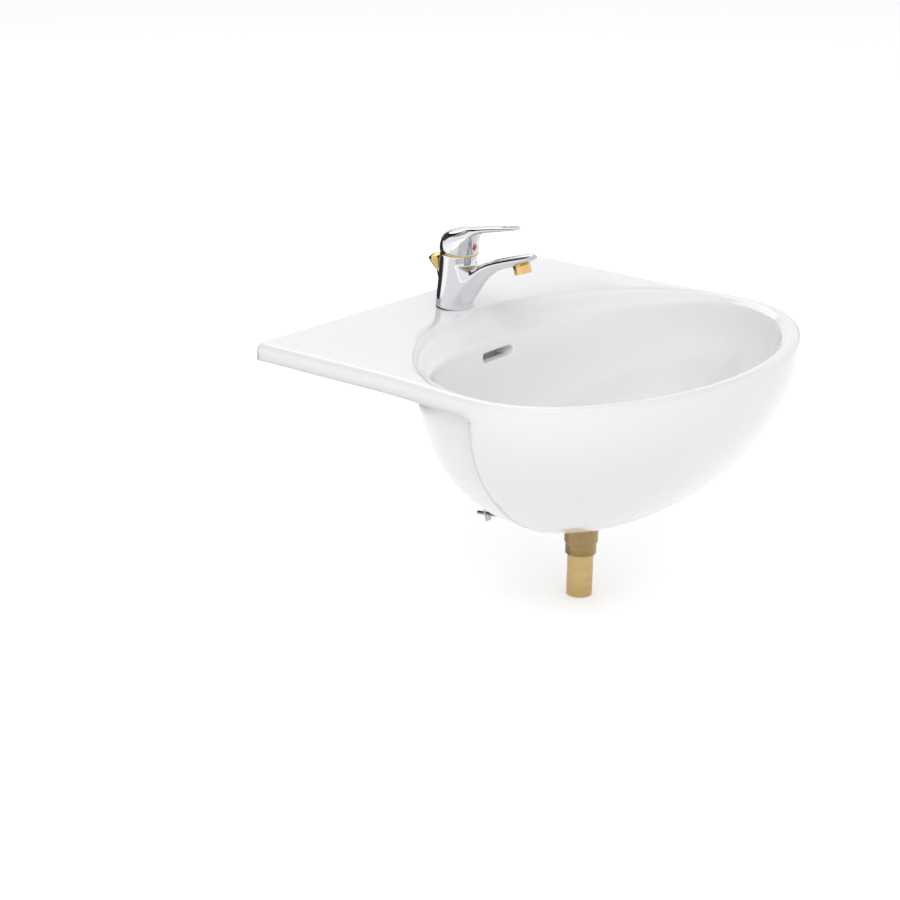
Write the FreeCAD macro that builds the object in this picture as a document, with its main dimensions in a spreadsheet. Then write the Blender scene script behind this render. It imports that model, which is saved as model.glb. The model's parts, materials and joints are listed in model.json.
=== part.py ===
"""Semi recessed washbasin with a single lever mixer and a pop-up waste.

Frame: millimetres, +Z up, +X to the right seen from the front, +Y to the rear.
The origin lies on the centre line of the deck's flat underside, which rests on a worktop.
"""
import FreeCAD, Part
import math
import os
import Sketcher
from FreeCAD import Placement, Rotation, Vector

doc = FreeCAD.newDocument("semi_recessed_basin")
sheet = doc.addObject("Spreadsheet::Sheet", "sizes")

# ---------------------------------------------------------------- driving dimensions
SIZES = [
    # basin: deck
    ("deck_thick", 19.5), ("deck_rear", 29.5), ("setback", 292.0), ("rear_inset", 3.4),
    ("waist_inset", 7.0), ("side_blend", 600.0), ("corner_round", 11.0), ("edge_round", 9.0),
    ("recess_depth", 4.0), ("rear_land", 37.5), ("side_land", 42.0),
    # basin: outside of the bowl
    ("bowl_half", 285.0), ("bowl_front", 180.0), ("bowl_depth", 204.5), ("bowl_shift", 41.6),
    ("body_inset", 16.0), ("body_gap", 76.0), ("floor_thick", 44.0),
    # basin: rim, dished slope and inside of the bowl
    ("rim_inset", 12.0), ("rim_gap", 72.0), ("crest_level", 14.0), ("crest_fall", 24.0),
    ("wall_inset", 24.0), ("front_wall", 21.0), ("wall_gap", 115.0), ("rear_flare", 14.0),
    ("inner_back", 8.0), ("inner_top", 15.0), ("inner_shift", 35.0),
    # basin: openings
    ("tap_back", 44.0), ("tap_hole", 17.5), ("waste_hole", 22.5), ("seat_radius", 33.0),
    ("seat_depth", 4.5), ("slot_width", 60.0), ("slot_height", 11.0), ("slot_drop", 29.0),
    ("duct_width", 48.0),
    # mixer
    ("tap_lean", 5.3), ("tap_radius", 23.7),
    # pop-up linkage
    ("rod_lean", 15.0), ("strap_out", 3.6), ("ball_reach", 27.0), ("ball_drop", 26.5),
    ("hole_drop", 16.1),
]
DERIVED = [
    ("half_rear", "bowl_half - rear_inset"), ("half_waist", "bowl_half - waist_inset"),
    ("body_half", "bowl_half - body_inset"), ("body_rear", "setback - body_gap"),
    ("rim_half", "bowl_half - rim_inset"), ("rim_front", "bowl_front - rim_inset"),
    ("rim_rear", "setback - rim_gap"), ("inner_half", "bowl_half - wall_inset"),
    ("inner_front", "bowl_front + inner_back - front_wall"),
    ("inner_rear", "setback - inner_back - wall_gap"),
    ("floor_level", "floor_thick - 0.975 * bowl_depth"),
    ("inner_depth", "(inner_top - floor_level) / 0.996"),
    ("waste_back", "setback - inner_back - inner_shift"),
    ("rod_foot", "tap_back - tap_hole + 3.3"),
    ("ball_y", "ball_reach - waste_back"), ("ball_level", "-0.975 * bowl_depth - ball_drop"),
    ("hole_level", "ball_level - hole_drop"),
    ("rod_length", "(deck_thick + strap_out * sin(rod_lean) - hole_level) / cos(rod_lean)"),
    ("hole_y", "-rod_foot - strap_out * cos(rod_lean) - rod_length * sin(rod_lean)"),
    ("rod_drop", "atan(hole_drop / (hole_y - ball_y))"),
    ("rod_reach", "(hole_y - ball_y) / cos(rod_drop)"),
]
for row, (alias, value) in enumerate(SIZES + DERIVED, 1):
    sheet.set("A%d" % row, alias)
    sheet.set("B%d" % row, "=" + value if isinstance(value, str) else "%g" % value)
    sheet.setAlias("B%d" % row, alias)
    doc.recompute()


def size(alias):
    got = sheet.get(alias)
    return float(getattr(got, "Value", got))


def put(obj, prop, rule):
    """Set one property from a number or from an expression on the sheet."""
    if isinstance(rule, str):
        obj.setExpression(prop, rule)
    else:
        setattr(obj, prop, rule)


def body(name):
    made = doc.addObject("PartDesign::Body", name)
    made.Label = name
    return made


def sketch(owner, name, place=None):
    make = doc.addObject if owner is doc else owner.newObject
    made = make("Sketcher::SketchObject", name)
    if place is not None:
        made.Placement = place
    return made


def dimension(sk, kind, *where, rule):
    """Add one driving dimension: a number, or an expression on the sheet."""
    number = rule
    if isinstance(rule, str):
        number = sk.evalExpression(rule)
        number = float(getattr(number, "Value", number))
    at = sk.addConstraint(Sketcher.Constraint(kind, *where, number))
    if isinstance(rule, str):
        sk.setExpression("Constraints[%d]" % at, rule)
    return at


def value_of(rule):
    got = sheet.evalExpression(rule.replace("sizes.", "")) if isinstance(rule, str) else rule
    return float(getattr(got, "Value", got))


# ---------------------------------------------------------------- closed ovals
ROOT = (-1, 1)
AXIS = {"x": -1, "y": -2}


def oval(owner, name, half, front, rear, centre, place, place_rules=()):
    """Closed oval of two half ellipses that share their long axis, at (0, centre).

    With no front half axis the rear half is closed by its chord."""
    sk = sketch(owner, name, place)
    add = sk.addConstraint
    a, c = value_of(half), value_of(centre)
    halves = [(rear, 0.0)] + ([(front, math.pi)] if front is not None else [])
    arcs = []
    for rule, start in halves:
        shape = Part.Ellipse(Vector(0, c, 0), a, value_of(rule))
        arc = sk.addGeometry(Part.ArcOfEllipse(shape, start, start + math.pi))
        sk.exposeInternalGeometry(arc)
        arcs.append(arc)
        major, minor = arc + 1, arc + 2
        add(Sketcher.Constraint("Horizontal", major))
        dimension(sk, "Distance", major, rule="2 * (%s)" % half)
        dimension(sk, "Distance", minor, rule="2 * (%s)" % rule)
        first, last = (1, 2) if start == 0 else (2, 1)
        add(Sketcher.Constraint("Coincident", arc, 1, major, first))
        add(Sketcher.Constraint("Coincident", arc, 2, major, last))
    if len(arcs) == 2:
        add(Sketcher.Constraint("Coincident", arcs[0], 3, arcs[1], 3))
    else:
        chord = sk.addGeometry(Part.LineSegment(Vector(-a, c, 0), Vector(a, c, 0)))
        add(Sketcher.Constraint("Coincident", chord, 1, arcs[0], 2))
        add(Sketcher.Constraint("Coincident", chord, 2, arcs[0], 1))
    add(Sketcher.Constraint("PointOnObject", arcs[0], 3, AXIS["y"]))
    if abs(c) < 1e-9:
        add(Sketcher.Constraint("PointOnObject", arcs[0], 3, AXIS["x"]))
    else:
        dimension(sk, "DistanceY", *ROOT, arcs[0], 3, rule=centre)
    for prop, rule in place_rules:
        sk.setExpression(prop, rule)
    return sk


def outline(owner, name, nodes, place=None, place_rules=()):
    """Closed outline. Each node is (x, y) or (x, y, radius, side): an arc runs to the next node,
    bulging to the left (+1) or to the right (-1) of the way it runs."""
    sk = sketch(owner, name, place)
    spots = [Vector(value_of(n[0]), value_of(n[1]), 0) for n in nodes]
    edges = []
    for i, node in enumerate(nodes):
        a, b = spots[i], spots[(i + 1) % len(nodes)]
        if len(node) == 2:
            edges.append((sk.addGeometry(Part.LineSegment(a, b)), 1, 2))
            continue
        radius = value_of(node[2])
        way = (b - a).normalize()
        left = Vector(-way.y, way.x, 0)
        reach = math.sqrt(max(radius ** 2 - ((b - a).Length / 2) ** 2, 0.0))
        centre = (a + b) * 0.5 - left * (reach * node[3])
        top = centre + left * (radius * node[3])
        arc = Part.Arc(a, top, b)
        at = sk.addGeometry(arc)
        start = sk.getPoint(at, 1)
        edges.append((at, 1, 2) if (start - a).Length < 1e-6 else (at, 2, 1))
    for i, (at, first, last) in enumerate(edges):
        nxt = edges[(i + 1) % len(edges)]
        sk.addConstraint(Sketcher.Constraint("Coincident", at, last, nxt[0], nxt[1]))
        for kind, axis, rule, number in (("DistanceX", AXIS["y"], nodes[i][0], spots[i].x),
                                         ("DistanceY", AXIS["x"], nodes[i][1], spots[i].y)):
            if abs(number) < 1e-9:
                sk.addConstraint(Sketcher.Constraint("PointOnObject", at, first, axis))
            else:
                dimension(sk, kind, *ROOT, at, first, rule=rule)
        if len(nodes[i]) > 2:
            chord = spots[(i + 1) % len(nodes)] - spots[i]
            if abs(chord.Length - 2 * value_of(nodes[i][2])) < 1e-6:      # a half circle
                line = "Vertical" if abs(chord.x) < 1e-6 else "Horizontal"
                sk.addConstraint(Sketcher.Constraint(line, at, 3, at, first))
            else:
                dimension(sk, "Radius", at, rule=nodes[i][2])
    for prop, rule in place_rules:
        sk.setExpression(prop, rule)
    return sk


def loft(name, sections):
    made = doc.addObject("Part::Loft", name)
    made.Sections = sections
    made.Solid = True
    for one in sections:
        one.Visibility = False
    return made


def block(name, low, high):
    """Box between two corners; each coordinate is a number or an expression."""
    made = doc.addObject("Part::Box", name)
    for axis, side, lo, hi in zip("xyz", ("Length", "Width", "Height"), low, high):
        made.setExpression("Placement.Base." + axis, str(lo))
        made.setExpression(side, "(%s) - (%s)" % (hi, lo))
    return made


def cut(name, base, *tools):
    tool = tools[0]
    if len(tools) > 1:
        tool = doc.addObject("Part::MultiFuse", name + "_tools")
        tool.Shapes = list(tools)
    made = doc.addObject("Part::Cut", name)
    made.Base, made.Tool = base, tool
    return made


def common(name, one, other):
    made = doc.addObject("Part::MultiCommon", name)
    made.Shapes = [one, other]
    return made


def fuse(name, *parts):
    made = doc.addObject("Part::MultiFuse", name)
    made.Shapes = list(parts)
    made.Refine = True
    return made


def soften(name, base, radius, chosen):
    """Fillet every edge of base that the chooser picks."""
    doc.recompute()
    made = doc.addObject("Part::Fillet", name)
    made.Base = base
    r = value_of(radius)
    made.Edges = [(i + 1, r, r) for i, e in enumerate(base.Shape.Edges) if chosen(e)]
    doc.recompute()
    return made


# ---------------------------------------------------------------- basin: outside
def scale(depth, power, root):
    """Share of the full section left at this share of the full depth."""
    return (1 - depth ** power) ** (1 / root)


def shell_sections(prefix, half, front, rear):
    """Ovals down the outside of the bowl; the ware narrows and moves back as it goes down."""
    made = []
    for i, t in enumerate((0, 0.13, 0.27, 0.42, 0.56, 0.69, 0.80, 0.88, 0.94, 0.975)):
        g = scale(t, 1.8, 2.2)
        made.append(oval(
            doc, "%s_%d" % (prefix, i), "%s * %.5f" % (half, g), "%s * %.5f" % (front, g),
            "%s * %.5f" % (rear, g), "sizes.bowl_shift * %.5f - sizes.setback" % t ** 2,
            Placement(Vector(0, 0, -t * size("bowl_depth")), Rotation()),
            [("Placement.Base.z", "-%.5f * sizes.bowl_depth" % t)]))
    return made


FRONT_PLANE = "-sizes.setback"
FAR = 400
TURN = "acos(1 - sizes.waist_inset / (2 * sizes.side_blend))"


def deck_outline():
    """Deck seen from above: straight rear edge, waisted sides and a half oval in front."""
    right = [
        ("sizes.bowl_half", FRONT_PLANE, "sizes.side_blend", -1),
        ("(sizes.bowl_half + sizes.half_waist) / 2",
         "sizes.side_blend * sin(%s) - sizes.setback" % TURN, "sizes.side_blend", 1),
        ("sizes.half_waist", "2 * sizes.side_blend * sin(%s) - sizes.setback" % TURN),
        ("sizes.half_rear", "sizes.deck_rear - sizes.corner_round", "sizes.corner_round", -1),
        ("sizes.half_rear - sizes.corner_round", "sizes.deck_rear"),
    ]
    left = []
    for i in range(len(right) - 1, -1, -1):
        bend = right[i - 1][2:] if i else ()
        left.append(("-(%s)" % right[i][0], right[i][1]) + tuple(bend))
    # the straight run across the front plane is inside the front oval
    return outline(doc, "deck_outline", right + left)


def pad(name, profile, rise):
    """Straight extrusion of a sketch along its own normal."""
    made = doc.addObject("Part::Extrusion", name)
    made.Base = profile
    made.DirMode = "Normal"
    made.Solid = True
    put(made, "LengthFwd", rise)
    profile.Visibility = False
    return made


# the deck rests on a land round its underside; a shallow recess takes the mixer's fixing
recess = block("recess", ("sizes.side_land - sizes.half_rear", FRONT_PLANE, -1),
               ("sizes.half_rear - sizes.side_land", "sizes.deck_rear - sizes.rear_land",
                "sizes.recess_depth"))
deck = cut("deck", pad("deck_slab", deck_outline(), "sizes.deck_thick"), recess)
root = pad("root", oval(doc, "root_outline", "sizes.body_half", "60", "sizes.body_rear",
                        FRONT_PLANE, Placement()), "sizes.recess_depth + 3")
rim = pad("rim", oval(doc, "rim_outline", "sizes.bowl_half", "sizes.bowl_front", "60",
                      FRONT_PLANE, Placement()), "sizes.deck_thick")
behind = block("behind", (-FAR, "-sizes.setback - 10", -FAR), (FAR, FAR, FAR))
ahead = block("ahead", (-FAR, -2 * FAR, -FAR), (FAR, FRONT_PLANE, FAR))
front_shell = common("front_shell", loft("front_loft", shell_sections(
    "front", "sizes.bowl_half", "sizes.bowl_front", "sizes.bowl_front")), ahead)
rear_shell = common("rear_shell", loft("rear_loft", shell_sections(
    "rear", "sizes.body_half", "sizes.bowl_front", "sizes.body_rear")), behind)
ware = fuse("ware", deck, root, rim, front_shell, rear_shell)


def on_top(edge, level):
    box = edge.BoundBox
    return abs(box.ZMin - level) < 1e-4 and abs(box.ZMax - level) < 1e-4


top = size("deck_thick")
ware_soft = soften("ware_soft", ware, "sizes.edge_round", lambda e: on_top(e, top))

# ---------------------------------------------------------------- basin: rim slope and dish
class BowlSpace:
    """Everything scooped out of the ware: sloped rim, dished rear, soft crest, walls and floor.

    One smooth spline surface, closed round the bowl. Each row of its control net is an oval of
    two half ellipses; the rows run from the rim's edge over the crest and down to the floor."""

    NEEDS = ("deck_thick", "setback", "rim_half", "rim_front", "rim_rear", "crest_level",
             "crest_fall", "inner_half", "inner_front", "inner_rear", "rear_flare", "inner_back",
             "inner_top", "inner_depth", "inner_shift")
    ROUND = 40                                   # control points round the bowl
    SPREAD = 3 / (2 + math.cos(2 * math.pi / 40))  # the spline runs inside its control points
    SLOPE = (0.0, 0.30, 0.62, 0.86)              # rows from the rim's edge to the crest
    CREST = (0.0, 0.10, 0.24, 0.43, 0.70)        # rows from the crest to the upright wall
    WALL_TOP = 0.44                              # share of the depth where the wall stands upright
    WALL = (0.44, 0.55, 0.65, 0.74, 0.81, 0.87, 0.915, 0.95, 0.975, 0.989, 0.996)

    def __init__(self, obj):
        for name in self.NEEDS:
            obj.addProperty("App::PropertyFloat", name)
            obj.setExpression(name, "sizes." + name)
        obj.Proxy = self

    def wall(self, o, t, c, s):
        """Point of the wall at share t of the depth, in the direction (c, s)."""
        g = scale(max(t, 0.0), 2.6, 2.3)
        if s < 0:
            reach = o.inner_front * scale(max(t, 0.0), 3.2, 2.3)
        else:
            reach = o.inner_rear * g + o.rear_flare * max(0.0, 1 - t / 0.3) * s
        back = o.inner_back + o.inner_shift * (max(0.0, t - 0.12) / 0.88) ** 2
        return Vector(o.inner_half * g * c, back + reach * s - o.setback,
                      o.inner_top - o.inner_depth * t)

    def column(self, o, angle):
        """Control points from the rim's edge down to the floor, in one direction."""
        c, s = self.SPREAD * math.cos(angle), self.SPREAD * math.sin(angle)
        edge = Vector(o.rim_half * c, (o.rim_front if s < 0 else o.rim_rear) * s - o.setback,
                      o.deck_thick)
        fall = o.crest_fall * max(0.0, s) ** 1.3
        crest_at = (o.inner_top - o.crest_level + fall) / o.inner_depth
        crest = self.wall(o, crest_at, c, s)
        points = []
        for share in self.SLOPE:
            point = edge + (crest - edge) * share
            if share == self.SLOPE[1]:
                point.z = edge.z - 0.08 * (edge.z - crest.z)
            points.append(point)
        for share in self.CREST:
            points.append(self.wall(o, crest_at + (self.WALL_TOP - crest_at) * share, c, s))
        return points + [self.wall(o, t, c, s) for t in self.WALL]

    def execute(self, o):
        net = [self.column(o, 2 * math.pi * i / self.ROUND) for i in range(self.ROUND)]
        rows = len(net[0])
        skin = Part.BSplineSurface()
        knots = [i / (rows - 3) for i in range(rows - 2)]
        skin.buildFromPolesMultsKnots(
            net, [1] * (self.ROUND + 1), [4] + [1] * (rows - 4) + [4],
            [i / self.ROUND for i in range(self.ROUND + 1)], knots, True, False, 3, 3)
        side = skin.toShape()
        ends = [e for e in side.Edges if e.BoundBox.ZLength < 1e-6]
        low, high = sorted(ends, key=lambda e: e.BoundBox.ZMin)
        wall = high.extrude(Vector(0, 0, 3 * o.deck_thick))
        lid_edge = max(wall.Edges, key=lambda e: e.BoundBox.ZMin)
        faces = [side, wall.Faces[0] if wall.Faces else wall,
                 Part.Face(Part.Wire([lid_edge])), Part.Face(Part.Wire([low]))]
        shell = Part.Shell(faces)
        shell.sewShape()
        solid = Part.Solid(shell)
        if solid.Volume < 0:
            solid.reverse()
        o.Shape = solid


space = doc.addObject("Part::FeaturePython", "bowl_space")
BowlSpace(space)
hollow = cut("hollow", ware_soft, space)


# ---------------------------------------------------------------- basin: openings
FLOOR = "sizes.floor_level"
SIDE_ON = Rotation(Vector(1, 1, 1), 120)         # sketch x runs to the rear, sketch y runs up
UPRIGHT = Rotation(Vector(1, 0, 0), 90)          # sketch x runs to the right, sketch y runs up


def rod(name, radius, low, high, x="0", y="0"):
    """Upright cylinder between two levels."""
    made = doc.addObject("Part::Cylinder", name)
    made.setExpression("Radius", str(radius))
    made.setExpression("Height", "(%s) - (%s)" % (high, low))
    for axis, rule in (("x", x), ("y", y), ("z", low)):
        made.setExpression("Placement.Base." + axis, str(rule))
    return made


WASTE_Y = "-sizes.waste_back"
SEAT = "(%s) - sizes.seat_depth" % FLOOR
half_w, half_h = "sizes.slot_width / 2", "sizes.slot_height / 2"
flat = "(%s - %s)" % (half_w, half_h)
slot_outline = outline(doc, "slot_outline", [
    (flat, "-sizes.slot_drop - " + half_h, half_h, -1), (flat, "-sizes.slot_drop + " + half_h),
    ("-" + flat, "-sizes.slot_drop + " + half_h, half_h, -1),
    ("-" + flat, "-sizes.slot_drop - " + half_h)],
    Placement(Vector(0, -94, 0), UPRIGHT), [("Placement.Base.y", "21 - sizes.wall_gap")])
slot = pad("slot", slot_outline, 45)
# the duct runs behind the wall: distance to the rear of it, and share of the bowl's depth
duct_front = [(11, 0.098), (11, 0.303), (-4, 0.489), (-27, 0.646), (-53, 0.763)]
duct_rear = [(-41, 0.832), (-11, 0.675), (10, 0.499), (23, 0.303), (23, 0.098)]


def duct_nodes(side):
    return [("%g - sizes.wall_gap" % y, "-%g * sizes.bowl_depth" % depth) for y, depth in side]


DUCT_END = "16 - sizes.waste_back"
duct_outline = outline(doc, "duct_outline", duct_nodes(duct_front)
                       + [(DUCT_END, FLOOR + " - 18"), (DUCT_END, FLOOR + " - 33")]
                       + duct_nodes(duct_rear), Placement(Vector(0, 0, 0), SIDE_ON))
duct = pad("duct", duct_outline, "sizes.duct_width / 2")
duct.setExpression("LengthRev", "sizes.duct_width / 2")
openings = (
    rod("tap_hole", "sizes.tap_hole", "-10", "sizes.deck_thick + 10", y="-sizes.tap_back"),
    rod("waste_hole", "sizes.waste_hole", "-sizes.bowl_depth - 5", FLOOR, y=WASTE_Y),
    rod("waste_seat", "sizes.seat_radius", SEAT, "(%s) + 5" % FLOOR, y=WASTE_Y),
    slot, duct)
basin = cut("basin", hollow, *openings)
basin.Refine = False


def near_slot(edge):
    box = edge.BoundBox
    wall = -size("wall_gap")
    return (wall - 17 < box.YMin and box.YMax < wall + 6
            and abs(box.ZMin + size("slot_drop")) < 7 and abs(box.XMin) < 31)


NODES = {}


def keep(name, obj, frame=None):
    """Name a finished piece; a frame moves it to where it is fitted."""
    obj.Label = name
    for prop, rule in frame or ():
        obj.setExpression(prop, rule)
    NODES[name] = obj
    return obj


keep("basin_body", soften("basin_soft", basin, 2.0, near_slot))

# ---------------------------------------------------------------- general makers for fittings
TAP = [("Placement.Base.y", "-sizes.tap_back"), ("Placement.Base.z", "sizes.deck_thick"),
       ("Placement.Rotation.Angle", "sizes.tap_lean")]
STAND = TAP[:2]
DRAIN = [("Placement.Base.y", WASTE_Y), ("Placement.Base.z", FLOOR)]
LIFT = [("Placement.Base.y", "-sizes.rod_foot"), ("Placement.Base.z", "sizes.deck_thick"),
        ("Placement.Rotation.Angle", "sizes.rod_lean")]


def facing(obj, way):
    """Give the finished piece a turn about X (+1 or -1) that the sheet then drives."""
    obj.Placement = Placement(Vector(0, 0, 0), Rotation(Vector(way, 0, 0), 1))
    return obj


def turned(name, section):
    """Piece turned about its own Z axis from (radius, level) points."""
    owner = body(name)
    profile = outline(owner, name + "_section", section, Placement(Vector(0, 0, 0), UPRIGHT))
    turn = owner.newObject("PartDesign::Revolution", name + "_turn")
    turn.Profile = profile
    turn.ReferenceAxis = (profile, ["V_Axis"])
    turn.Angle = 360
    profile.Visibility = False
    owner.Tip = turn
    return owner


def ring(name, inner, outer, low, high):
    """Plain washer or sleeve."""
    return turned(name, [(inner, low), (outer, low), (outer, high), (inner, high)])


def prism(name, sides, corner, low, high, x=0, y=0):
    made = doc.addObject("Part::Prism", name)
    made.Polygon = sides
    made.Circumradius = corner
    made.setExpression("Height", "(%s) - (%s)" % (high, low))
    made.Placement.Base = Vector(x, y, 0)
    made.setExpression("Placement.Base.z", str(low))
    return made


def bar(name, radius, start, end, x=0.0):
    """Cylinder between two points of an upright plane, each (to the rear, up)."""
    run = Vector(0, end[0] - start[0], end[1] - start[1])
    made = doc.addObject("Part::Cylinder", name)
    made.Radius, made.Height = radius, run.Length
    made.Placement = Placement(Vector(x, start[0], start[1]), Rotation(Vector(0, 0, 1), run))
    return made


def unleaned(name, made):
    """Turn a tool back from the mixer's lean, about the middle of its foot."""
    holder = doc.addObject("Part::Compound", name)
    holder.Links = [made]
    facing(holder, -1).setExpression("Placement.Rotation.Angle", "sizes.tap_lean")
    return holder


# ---------------------------------------------------------------- mixer: body, in its own frame
R = "sizes.tap_radius"
GASKET_IN, GASKET_OUT = R + " - 3.7", R + " - 1.1"
CHAMBER, CHAMBER_FLOOR, RING_SEAT = 18.6, 27.0, 60.0
INLET_X, INLET_Y, STUD_Y = 10.0, 2.0, -11.0
shank = turned("shank", [(0, -6), (R, -6), (R, 3), (R + " - 0.7", 30),
                         (R + " + 0.1", RING_SEAT), (0, RING_SEAT)])
# sections of the spout: reach, level of its top, level of its underside, half width
SPOUT = [(-4, 43, 3, 20.5), (-20, 44.2, 5.2, 19.8), (-28, 54.5, 18.5, 18.6), (-35, 63.5, 33, 17.8),
         (-45, 71.7, 47.6, 16.8), (-56, 76.4, 58.4, 15.9), (-68, 81.4, 66.8, 14.9),
         (-84, 88, 73.6, 13.7), (-99, 93.6, 80, 12.3), (-108, 95.9, 86.4, 9.6),
         (-113, 96.2, 91.8, 5.6)]
spout = loft("spout", [oval(doc, "spout_%d" % i, wide, (top - low) / 2, (top - low) / 2, 0,
                            Placement(Vector(0, y, (top + low) / 2), UPRIGHT))
                       for i, (y, top, low, wide) in enumerate(SPOUT)])


def spout_root(edge):
    """Edges where the spout leaves the upright body."""
    spots = [edge.getParameterByLength(edge.Length * share) for share in (0.1, 0.5, 0.9)]
    reach = [math.hypot(edge.valueAt(spot).x, edge.valueAt(spot).y) for spot in spots]
    return edge.BoundBox.ZLength > 0.5 and edge.BoundBox.YMax < -1 and max(reach) < 24.2


grown = soften("grown", fuse("upright", shank, spout), 9, spout_root)
# the neck under the lever is scooped out in front, down to the spout
neck_outline = outline(doc, "neck_outline", [(-5, 60.5, 19, 1), (-38, 64), (-38, 80), (-5, 80)],
                       Placement(Vector(0, 0, 0), SIDE_ON))
neck = pad("neck", neck_outline, 30)
neck.LengthRev = 30
collar = ring("collar", CHAMBER - 2, 20.0, 40, RING_SEAT + 2)
# the aerator hangs square to the spout
AERATOR = Placement(Vector(0, -97.8, 72.8), Rotation(Vector(-1, 0, 0), 22.3))


def at_aerator(made):
    """Move a piece made about the aerator's middle to its place on the mixer."""
    holder = doc.addObject("Part::Compound", made.Name + "_placed")
    holder.Links = [made]
    holder.Placement = AERATOR
    return holder


boss = at_aerator(bar("boss", 10.2, (0, 6.5), (0, 14.5)))
socket = at_aerator(bar("socket", 8.65, (0, 6), (0, 12.5)))
nut_space = at_aerator(bar("nut_space", 11.4, (0, -10), (0, 6.6)))
WAY = [(-14, 44), (-43, 59.5), (-62, 71.2), (-93, 84.0)]
ways = [bar("way_%d" % i, 3.8, WAY[i], WAY[i + 1]) for i in range(len(WAY) - 1)]
level_tools = [rod("below_foot", 80, "-60", 0), rod("stud_bore", 4, -20, 13, y=STUD_Y),
               ring("foot_groove", GASKET_IN, GASKET_OUT, -1, 1.2)]
level_tools += [rod("inlet_bore_%d" % i, 4.5, -20, 14, x=x, y=INLET_Y)
                for i, x in enumerate((-INLET_X, INLET_X))]
guide = rod("guide", 2.55, -40, 80)
guide.Placement = Placement(Vector(0, 0, 0), Rotation(Vector(-1, 0, 0), 15))
guide.setExpression("Placement.Base.y", "sizes.tap_back - sizes.rod_foot - 40 * sin(sizes.rod_lean)")
guide.setExpression("Placement.Base.z", "-40 * cos(sizes.rod_lean)")
guide.setExpression("Placement.Rotation.Angle", "sizes.rod_lean")
level_tools = [unleaned("level_%d" % i, tool) for i, tool in enumerate(level_tools + [guide])]
chamber = rod("chamber", CHAMBER, CHAMBER_FLOOR, 90)
feeds = [rod("feed_%d" % i, 2.6, 10, CHAMBER_FLOOR + 1, x=x, y=1) for i, x in enumerate((-10, 10))]
outer = cut("tap_outer", fuse("tap_mass", grown, boss), neck)
tap_body = cut("tap_solid", fuse("tap_whole", outer, collar), chamber, socket, nut_space,
               *ways, *feeds, *level_tools)
keep("tap_body", facing(tap_body, 1), TAP)
keep("tap_gasket", ring("gasket", GASKET_IN, GASKET_OUT, 0, 1.2), STAND)
keep("trim_ring", facing(turned("trim", [
    (20.1, RING_SEAT), (R, RING_SEAT), (R + " + 0.2", RING_SEAT + 1.1),
    (R + " - 0.8", RING_SEAT + 2.5), (20.1, RING_SEAT + 2.5)]), 1), TAP)
keep("cartridge_seal", facing(ring("seal", 12, 17, CHAMBER_FLOOR, CHAMBER_FLOOR + 1), 1), TAP)

# ---------------------------------------------------------------- mixer: cartridge
PIVOT, LIFT_TOP = 52.0, 56.0
shell_bore = turned("shell_bore", [(0, 43), (11.05, 43), (11.05, 70), (0, 70)])
cartridge = cut("cartridge", turned("cartridge_shell", [
    (0, CHAMBER_FLOOR + 1), (18.4, CHAMBER_FLOOR + 1), (18.4, 53), (17.4, LIFT_TOP),
    (0, LIFT_TOP)]), shell_bore)
keep("cartridge_body", facing(cartridge, 1), TAP)
keep("cartridge_nut", facing(turned("clamp_ring", [
    (13.7, LIFT_TOP), (18.5, LIFT_TOP), (18.5, 61), (16.6, 64.4), (14.4, 64.4), (13.7, 63.4)]), 1),
    TAP)
stem_slot = block("stem_slot", (-4.7, -7, 45), (4.7, 7, 70))
pin_bore = doc.addObject("Part::Cylinder", "pin_bore")
pin_bore.Radius, pin_bore.Height = 1.5, 40
pin_bore.Placement = Placement(Vector(-20, 0, PIVOT), Rotation(Vector(0, 1, 0), 90))
carrier = cut("carrier", turned("carrier_turned", [
    (0, 43), (11, 43), (11, LIFT_TOP), (13.2, LIFT_TOP), (13.2, 58), (0, 58)]), stem_slot, pin_bore)
keep("swivel_carrier", facing(carrier, 1), TAP)
pin = doc.addObject("Part::Cylinder", "pin")
pin.Radius, pin.Height = 1.5, 20
pin.Placement = Placement(Vector(-10, 0, PIVOT), Rotation(Vector(0, 1, 0), 90))
pin_holder = doc.addObject("Part::Compound", "pin_holder")
pin_holder.Links = [pin]
keep("pivot_pin", facing(pin_holder, 1), TAP)
eye = doc.addObject("Part::Cylinder", "eye")
eye.Radius, eye.Height = 1.55, 40
eye.Placement = Placement(Vector(-20, 0, PIVOT), Rotation(Vector(0, 1, 0), 90))
stem = cut("stem", block("stem_bar", (-4.5, -4, 47.5), (4.5, 4, 78)), eye)
keep("cartridge_stem", facing(stem, 1), TAP)

# ---------------------------------------------------------------- mixer: lever
SKIRT = 63.0
CAP = "(sizes.tap_radius + 0.1)"
lever_side = outline(doc, "lever_side", [
    (-20, SKIRT), (-22.8, 92, 11, -1), (-32, 102.6), (-92, 121.5),
    (-92, 125.8, 285, 1), (26, 83.5), (26, 72.8), (-1.5, SKIRT)],
    Placement(Vector(0, 0, 0), SIDE_ON))
lever_slab = pad("lever_slab", lever_side, 30)
lever_slab.LengthRev = 30
lever_plan = outline(doc, "lever_plan", [
    (CAP + " * 0.7815", CAP + " * -0.6239", CAP, -1), (CAP, 0, CAP, -1), (0, CAP, CAP, -1),
    ("-" + CAP, 0, CAP, -1), (CAP + " * -0.7815", CAP + " * -0.6239"), (-10, -74.5, 10.09, -1),
    (10, -74.5)], Placement(Vector(0, 0, 50), Rotation()))
lever_block = common("lever_block", lever_slab, pad("lever_column", lever_plan, 100))


def lever_waist(edge):
    """Upright edges where the long lever leaves the round cap."""
    box = edge.BoundBox
    return (box.ZLength > 20 and box.YLength < 0.1
            and abs(box.YMax + 0.6239 * value_of(CAP)) < 0.1)


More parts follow.
